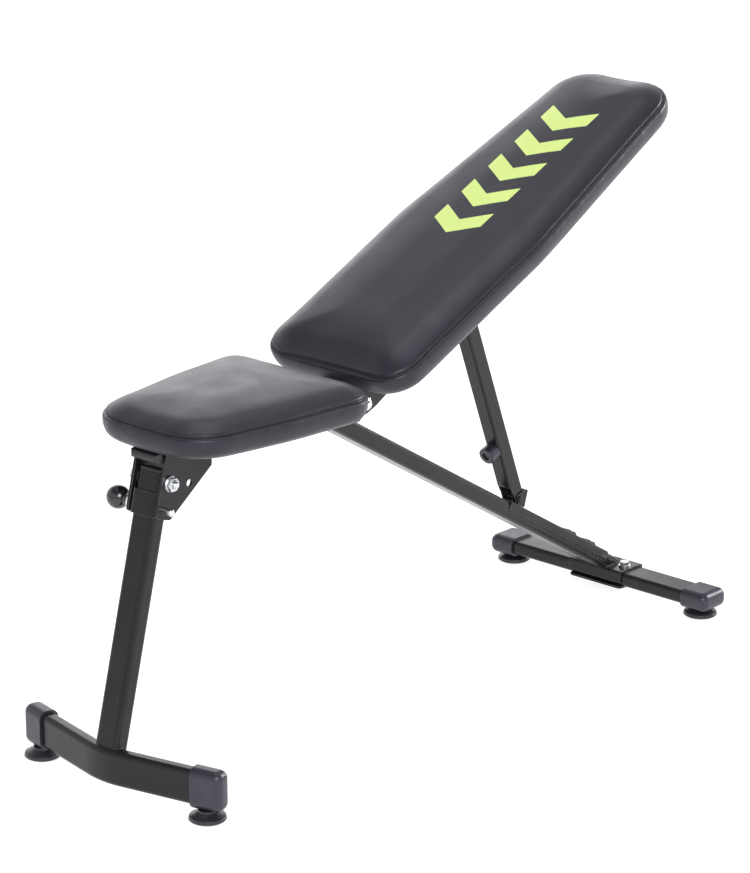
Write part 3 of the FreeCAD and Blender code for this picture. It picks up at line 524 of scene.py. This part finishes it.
def sew(piece, outline, t):
    """Press the seam into the side, with faint puckers along it, and soft unevenness in the foam."""
    points = points_of(piece.data)
    normals = normals_of(piece.data)
    seam = t - SEAM_DROP
    inside = edge_distance(points[:, :2], outline)
    side = 1 - smooth_step(inside, 7 * MM, 12 * MM)
    off = points[:, 2] - seam
    groove = -GROOVE_DEPTH * np.exp(-(off / GROOVE_WIDTH) ** 2) * side
    lips = LIP_HEIGHT * np.exp(-((np.abs(off) - LIP_OFFSET) / LIP_WIDTH) ** 2) * side
    uneven = np.empty(len(points))
    pucker = np.empty(len(points))
    for i, p in enumerate(points):
        uneven[i] = noise.noise(Vector((p[0] * 11, p[1] * 11, p[2] * 8)))
        pucker[i] = noise.noise(Vector((p[0] * 95, p[1] * 95, 4.0)))
    near_seam = np.exp(-(off / (7 * MM)) ** 2) * side
    above = smooth_step(points[:, 2], 0.0, 8 * MM)
    shift = groove + lips + pucker * PUCKER * near_seam + uneven * UNEVEN * above
    set_points(piece.data, points + normals * shift[:, None])


def tube_along(name, path, radius, material, sides, ripple):
    """A closed loop of round section through path; ripple(i) scales the radius at each point."""
    count = len(path)
    rings = []
    for i in range(count):
        ahead = (path[(i + 1) % count] - path[i - 1]).normalized()
        side = ahead.cross(Vector((0, 0, 1))).normalized()
        lift = side.cross(ahead).normalized()
        r = radius * ripple(i)
        rings.append([path[i] + (side * math.cos(a) + lift * math.sin(a)) * r
                      for a in (2 * math.pi * k / sides for k in range(sides))])
    vertices = [p for ring in rings for p in ring]
    faces = [(i * sides + j, i * sides + (j + 1) % sides, ((i + 1) % count) * sides + (j + 1) % sides,
              ((i + 1) % count) * sides + j) for i in range(count) for j in range(sides)]
    return mesh_object(name, vertices, faces, material)


def seam_on(name, cushion, outline, t, place, body):
    """The sewn seam, a thin cord set into the groove round the pad."""
    back = place.inverted()
    local = [back @ v.co for v in cushion.data.vertices]
    tree = BVHTree.FromPolygons(local, [tuple(p.vertices) for p in cushion.data.polygons])
    outward = outward_normals(outline)
    path = []
    for point, normal in zip(outline, outward):
        start = Vector((point[0] + normal[0] * 0.03, point[1] + normal[1] * 0.03, t - SEAM_DROP))
        hit = tree.ray_cast(start, Vector((-normal[0], -normal[1], 0)), 0.08)[0]
        path.append(place @ (hit + Vector((normal[0], normal[1], 0)) * 0.15 * MM))
    piece = tube_along(name, path, SEAM_CORD_R, MATERIAL["seam"], 8,
                       lambda i: 1.0 + 0.12 * math.cos(math.pi * i))
    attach(piece, body)


def seat_cushion():
    low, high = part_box("seat_pad")
    half = high.y
    front = half * SEAT_FRONT_SHARE
    side_x, side_y = (low.x + high.x) / 2, (front + half) / 2 + SEAT_BOW
    outline = rounded_outline([(low.x - SEAT_BOW, 0, SEAT_BOW_R), (low.x, -front, SEAT_FRONT_R),
                               (side_x, -side_y, SEAT_BOW_R), (high.x, -half, SEAT_REAR_R),
                               (high.x, half, SEAT_REAR_R), (side_x, side_y, SEAT_BOW_R),
                               (low.x, front, SEAT_FRONT_R)])
    t = high.z - low.z
    wrap = low.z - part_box("seat_board")[0].z - BOARD_CLEAR
    place = Matrix.Translation((0, 0, low.z))
    cushion = pad("seat_cushion", outline, t, wrap, place, MATERIAL["vinyl"], "frame", "seat_pad")
    seam_on("seat_seam", cushion, outline, t, place, "frame")


def back_cushion():
    low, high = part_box("back_pad")
    half = high.y
    length = BACK_U[1] - BACK_U[0]
    widest = length * BACK_WIDEST
    foot, head = half * BACK_LOW_SHARE, half * BACK_TOP_SHARE
    outline = rounded_outline([(0, -foot, BACK_LOW_R), (widest, -half, 0.4), (length, -head, BACK_TOP_R),
                               (length, head, BACK_TOP_R), (widest, half, 0.4), (0, foot, BACK_LOW_R)])
    t = BACK_N[1] - BACK_N[0]
    board = node_points("back_board") @ np.array(BACK_UP)
    wrap = BACK_N[0] - board.min() - BOARD_CLEAR
    origin = BACK_ALONG * BACK_U[0] + BACK_UP * BACK_N[0]
    place = Matrix.Translation(origin) @ Matrix.Rotation(-BACK_TILT, 4, "Y")
    cushion = pad("back_cushion", outline, t, wrap, place, MATERIAL["printed_vinyl"], "backrest", "back_pad")
    seam_on("back_seam", cushion, outline, t, place, "backrest")


# ---- fasteners ----------------------------------------------------------------------------------
def circle(radius, z, sides):
    return [Vector((radius * math.cos(a), radius * math.sin(a), z)) for a in
            (2 * math.pi * k / sides for k in range(sides))]


def hex_radius(angle, across_flats):
    return across_flats / 2 / math.cos((angle % (math.pi / 3)) - math.pi / 6)


def hex_rings(across_flats, height, hole, domed=0.0):
    """Rings of a chamfered hexagon from z = 0 up to height, round a hole or a closed face."""
    angles = [2 * math.pi * k / HEX_SIDES for k in range(HEX_SIDES)]
    flat = across_flats / 2

    def ring(radius_of, height_of):
        return [Vector((radius_of(a) * math.cos(a), radius_of(a) * math.sin(a), height_of(a)))
                for a in angles]

    def drop(a):
        return (hex_radius(a, across_flats) - flat) * 0.6 + 0.2 * MM

    rings = [ring(lambda a: hole, lambda a: 0.0), ring(lambda a: flat * 0.96, lambda a: 0.0),
             ring(lambda a: hex_radius(a, across_flats), drop),
             ring(lambda a: hex_radius(a, across_flats), lambda a: height - drop(a)),
             ring(lambda a: flat * 0.95, lambda a: height)]
    if domed:
        rings += [ring(lambda a: flat * 0.80, lambda a: height),
                  ring(lambda a: flat * 0.78, lambda a: height + domed * 0.7),
                  ring(lambda a: flat * 0.70, lambda a: height + domed)]
    rings.append(ring(lambda a: hole, lambda a: height + domed))
    return rings


def turned_to(axis, origin):
    """Matrix that puts a piece built along +Z onto an axis at an origin."""
    turn = Vector((0, 0, 1)).rotation_difference(Vector(axis))
    return Matrix.Translation(origin) @ turn.to_matrix().to_4x4()


def add_part(vertices, faces, more, place):
    offset = len(vertices)
    vertices += [place @ Vector(v) for v in more[0]]
    faces += [tuple(i + offset for i in face) for face in more[1]]


def nut(name, node, across_flats, hole, axis, bodies, centers=None):
    """Chamfered nut with a locking collar in the place of a plain CAD nut."""
    low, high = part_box(node)
    vertices, faces = [], []
    flip = Vector(axis)
    index = 1 if abs(flip.y) > 0.5 else 2
    height = high[index] - low[index]
    for center in centers or [(low + high) / 2]:
        start = Vector(center) - flip * height / 2
        rings = hex_rings(across_flats, height * 0.80, hole, height * 0.20)
        add_part(vertices, faces, loft(rings, caps=False), turned_to(axis, start))
        inner = [circle(hole, z, HEX_SIDES) for z in (height, 0.0)]
        add_part(vertices, faces, loft(inner, caps=False), turned_to(axis, start))
    piece = mesh_object(name, vertices, faces, MATERIAL["zinc"])
    merge(piece)
    piece.data.set_sharp_from_angle(angle=SHARP_ANGLE)
    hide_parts(node)
    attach(piece, bodies)


def merge(piece):
    bm = bmesh.new()
    bm.from_mesh(piece.data)
    bmesh.ops.remove_doubles(bm, verts=bm.verts, dist=1e-6)
    bmesh.ops.recalc_face_normals(bm, faces=bm.faces)
    bm.to_mesh(piece.data)
    bm.free()


def threaded(radius, pitch, start, end, plain_to, sides=36):
    """Rings of a shank along +Z whose far end carries a thread, from start to end."""
    rings = [circle(radius, start, sides)]
    z = plain_to
    while z < end - 1.0 * MM:
        ring = []
        for k in range(sides):
            phase = (z / pitch - k / sides) % 1.0
            r = radius - pitch * 0.55 * abs(phase - 0.5) * 1.2
            a = 2 * math.pi * k / sides
            ring.append(Vector((r * math.cos(a), r * math.sin(a), z)))
        rings.append(ring)
        z += pitch / 5
    for r, height in ((radius * 0.90, end - 0.8 * MM), (radius * 0.72, end)):
        rings.append(circle(r, height, sides))
    return rings


def bolt(name, node, across_flats, head_height, diameter, pitch, axis, body, centers=None):
    """Hexagon bolt with a chamfered head and a threaded end; axis points from the head to the end."""
    low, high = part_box(node)
    direction = Vector(axis)
    index = 1 if abs(direction.y) > 0.5 else 2
    length = high[index] - low[index]
    vertices, faces = [], []
    for center in centers or [(low + high) / 2]:
        start = Vector(center) - direction * length / 2
        head = hex_rings(across_flats, head_height, 0.0)
        add_part(vertices, faces, loft(head, caps=False), turned_to(axis, start))
        shank = threaded(diameter / 2, pitch, head_height - 0.1 * MM, length, length - THREAD_LENGTH)
        add_part(vertices, faces, loft(shank), turned_to(axis, start))
    piece = mesh_object(name, vertices, faces, MATERIAL["zinc"])
    merge(piece)
    piece.data.set_sharp_from_angle(angle=SHARP_ANGLE)
    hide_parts(node)
    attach(piece, body)


def fasteners():
    for joint, body in (("leg_pivot", "frame"), ("back_hinge", "frame"), ("strut_pivot", "backrest")):
        bolt(joint + "_hex_bolt", joint + "_bolt", M10_FLATS, 6.4 * MM, M10, M10_PITCH, (0, -1, 0), body)
        nut(joint + "_lock_nut", joint + "_nut", M10_FLATS, M10 / 2, (0, -1, 0), body)
    low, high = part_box("saddle_bolts")
    spread = high.y - M8_FLATS / 2
    x = (low.x + high.x) / 2
    middle = (low.z + high.z) / 2
    bolt("saddle_hex_bolts", "saddle_bolts", M8_FLATS, 5.3 * MM, M8, M8_PITCH, (0, 0, -1), "frame",
         [(x, -spread, middle), (x, spread, middle)])
    low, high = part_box("saddle_nuts")
    middle = (low.z + high.z) / 2
    nut("saddle_lock_nuts", "saddle_nuts", M8_FLATS, M8 / 2, (0, 0, -1), "frame",
        [(x, -spread, middle), (x, spread, middle)])


# ---- welds --------------------------------------------------------------------------------------
def bead(name, path, radius, body, seed):
    """A rippled weld bead along an open path."""
    dense = []
    for a, b in zip(path[:-1], path[1:]):
        a, b = Vector(a), Vector(b)
        steps = max(2, int((b - a).length / WELD_STEP))
        dense += [a.lerp(b, k / steps) for k in range(steps)]
    dense.append(Vector(path[-1]))
    rings = []
    travelled = 0.0
    for i, point in enumerate(dense):
        ahead = (dense[min(i + 1, len(dense) - 1)] - dense[max(i - 1, 0)]).normalized()
        helper = Vector((0, 0, 1)) if abs(ahead.z) < 0.9 else Vector((1, 0, 0))
        side = ahead.cross(helper).normalized()
        lift = side.cross(ahead).normalized()
        travelled += WELD_STEP
        ripple = 1.0 + 0.16 * abs(math.sin(math.pi * travelled / WELD_RIPPLE))
        wander = noise.noise(Vector((travelled * 160, seed, 0.0))) * 0.25
        taper = min(1.0, 0.35 + i / 6, 0.35 + (len(dense) - 1 - i) / 6)
        r = radius * (ripple + wander) * taper
        rings.append([point + (side * math.cos(a) + lift * math.sin(a)) * r
                      for a in (2 * math.pi * k / 10 for k in range(10))])
    vertices, faces = loft(rings)
    piece = mesh_object(name, vertices, faces, MATERIAL["weld"])
    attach(piece, body)


def welds():
    rail_low, rail_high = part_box("seat_rail")
    ears_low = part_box("hinge_ears")[0]
    plate_low, plate_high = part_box("leg_bracket_plates")
    under = rail_low.z + 0.3 * MM
    for sign, side in ((1, "left"), (-1, "right")):
        y = sign * rail_high.y * 0.985
        bead("bracket_weld_" + side, [(plate_low.x + 24 * MM, y, under), (plate_high.x - 4 * MM, y, under)],
             1.6 * MM, "frame", 1.0 + sign)
        bead("ear_weld_" + side, [(ears_low.x + 4 * MM, y, under), (rail_high.x - 4 * MM, y, under)],
             1.5 * MM, "frame", 5.0 + sign)
    # where the leg stands on the foot bar
    bar_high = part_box("front_foot_bar")[1]
    leg_points = node_points("leg_tube")
    near_bar = leg_points[leg_points[:, 2] < bar_high.z + 1 * MM]
    x_front, x_back = near_bar[:, 0].min(), near_bar[:, 0].max()
    half = TUBE_WELD_HALF
    z = bar_high.z + 0.4 * MM
    bead("leg_weld_front", [(x_front + 2 * MM, -half + 4 * MM, z), (x_front + 1 * MM, 0, z),
                            (x_front + 2 * MM, half - 4 * MM, z)], 1.8 * MM, "front_leg", 9.0)
    for sign, side in ((1, "left"), (-1, "right")):
        y = sign * (half + 0.6 * MM)
        bead("leg_weld_" + side, [(x_front + 5 * MM, y, z), (x_back - 8 * MM, y, z)],
             1.8 * MM, "front_leg", 12.0 + sign)
    # the beam on its saddle plate
    beam_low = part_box("main_beam")[0]
    beam_points = node_points("main_beam")
    foot = beam_points[beam_points[:, 2] < beam_low.z + 0.5 * MM]
    x_front, x_back = foot[:, 0].min(), foot[:, 0].max()
    z = beam_low.z + 0.4 * MM
    for sign, side in ((1, "left"), (-1, "right")):
        y = sign * (foot[:, 1].max() + 0.3 * MM)
        bead("beam_weld_" + side, [(x_front + 3 * MM, y, z), (x_back - 5 * MM, y, z)],
             1.9 * MM, "frame", 20.0 + sign)
    rear = x_back + 0.2 * MM
    bead("beam_weld_rear", [(rear, -half + 5 * MM, z), (rear, half - 5 * MM, z)], 1.9 * MM, "frame", 23.0)


# ---- stage --------------------------------------------------------------------------------------
def stage():
    s = Shader("floor_finish", Specular_IOR_Level=0.1, Emission_Color=(1, 1, 1, 1), Emission_Strength=0.78)
    tone = s.ramp(s.noise(3.0), (0.3, (0.49, 0.49, 0.49)), (0.7, (0.52, 0.52, 0.52)))
    finish = s.finish(Base_Color=tone, Roughness=s.span(s.noise(5.0), 0.85, 0.95))
    far = FLOOR_HALF
    floor = mesh_object("floor", [(-far, -far, 0), (far, -far, 0), (far, far, 0), (-far, far, 0)],
                        [(0, 1, 2, 3)], finish)
    floor.location.z = -0.3 * MM

    world = bpy.data.worlds.new("studio")
    world.use_nodes = True
    bpy.context.scene.world = world
    tree = world.node_tree
    tree.nodes["Background"].inputs["Strength"].default_value = 1.0
    coords = tree.nodes.new("ShaderNodeTexCoord")
    split = tree.nodes.new("ShaderNodeSeparateXYZ")
    ramp = tree.nodes.new("ShaderNodeValToRGB")
    tree.links.new(coords.outputs["Generated"], split.inputs[0])
    tree.links.new(split.outputs["Z"], ramp.inputs[0])
    tree.links.new(ramp.outputs[0], tree.nodes["Background"].inputs["Color"])
    stops = ramp.color_ramp.elements
    stops[0].position, stops[0].color = 0.0, (0.55, 0.55, 0.56, 1)
    stops[1].position, stops[1].color = 0.75, (0.28, 0.28, 0.31, 1)
    band = stops.new(0.32)
    band.color = (1.20, 1.20, 1.24, 1)

    for name, place, target, size, power in (
            ("key", (-1.9, -2.3, 1.9), (0, 0, 0.4), 1.3, 52),
            ("sweep", (1.9, 2.4, 1.5), (0, 0, 0.4), 2.4, 20),
            ("rim", (3.2, -1.3, 1.5), (0, 0, 0.4), 1.0, 70),
            ("top", (0.2, 0.2, 3.2), (0, 0, 0.3), 2.0, 26)):
        light = bpy.data.objects.new(name, bpy.data.lights.new(name, "AREA"))
        light.data.size = size
        light.data.energy = power
        light.location = place
        light.rotation_euler = (Vector(target) - Vector(place)).to_track_quat("-Z", "Y").to_euler()
        bpy.context.scene.collection.objects.link(light)

    camera = bpy.data.objects.new("camera", bpy.data.cameras.new("camera"))
    camera.data.lens = 143.48
    camera.data.sensor_width = 36.0
    camera.location = (-3.3914, -3.0415, 1.8353)
    aim = Vector((-0.0130, 0, 0.3622)) - camera.location
    camera.rotation_euler = aim.to_track_quat("-Z", "Y").to_euler()
    bpy.context.scene.collection.objects.link(camera)
    bpy.context.scene.camera = camera
    bpy.context.scene.view_settings.view_transform = "Standard"


stage()
seat_cushion()
back_cushion()
fasteners()
welds()
